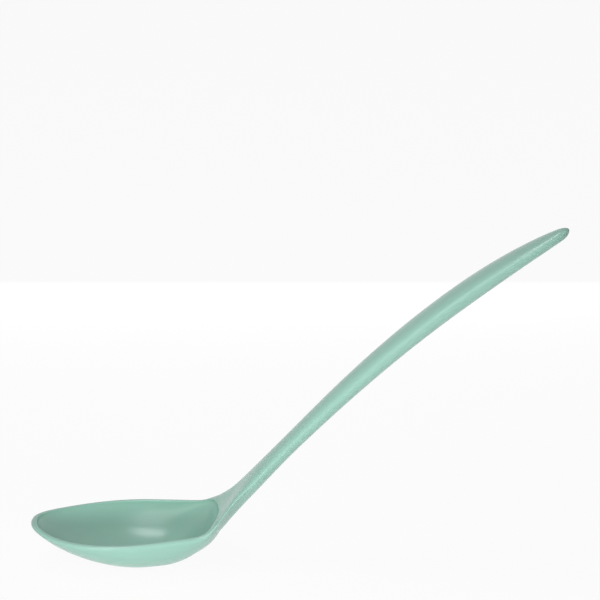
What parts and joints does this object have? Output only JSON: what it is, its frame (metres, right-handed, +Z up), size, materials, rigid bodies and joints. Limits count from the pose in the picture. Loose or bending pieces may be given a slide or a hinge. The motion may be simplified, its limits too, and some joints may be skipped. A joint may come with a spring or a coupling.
{
  "type": "serving spoon",
  "caption": "Moulded serving spoon with a deep oval bowl, a keeled neck and a long arched handle with a leaf-shaped end.",
  "frame": {"origin": "lowest point of the underside of the bowl, where it meets the table when the bowl is level", "axes": "+Z up with the bowl's rim level, +X from the tip of the bowl toward the handle, +Y across the spoon, which is its own mirror image about the XZ plane"},
  "size_m": [0.2675, 0.0608, 0.1784],
  "materials": {
    "melamine": "satin-gloss moulded melamine, pale sage green"
  },
  "bodies": {
    "root": {"bowl": "melamine", "handle": "melamine"}
  },
  "joints": []
}
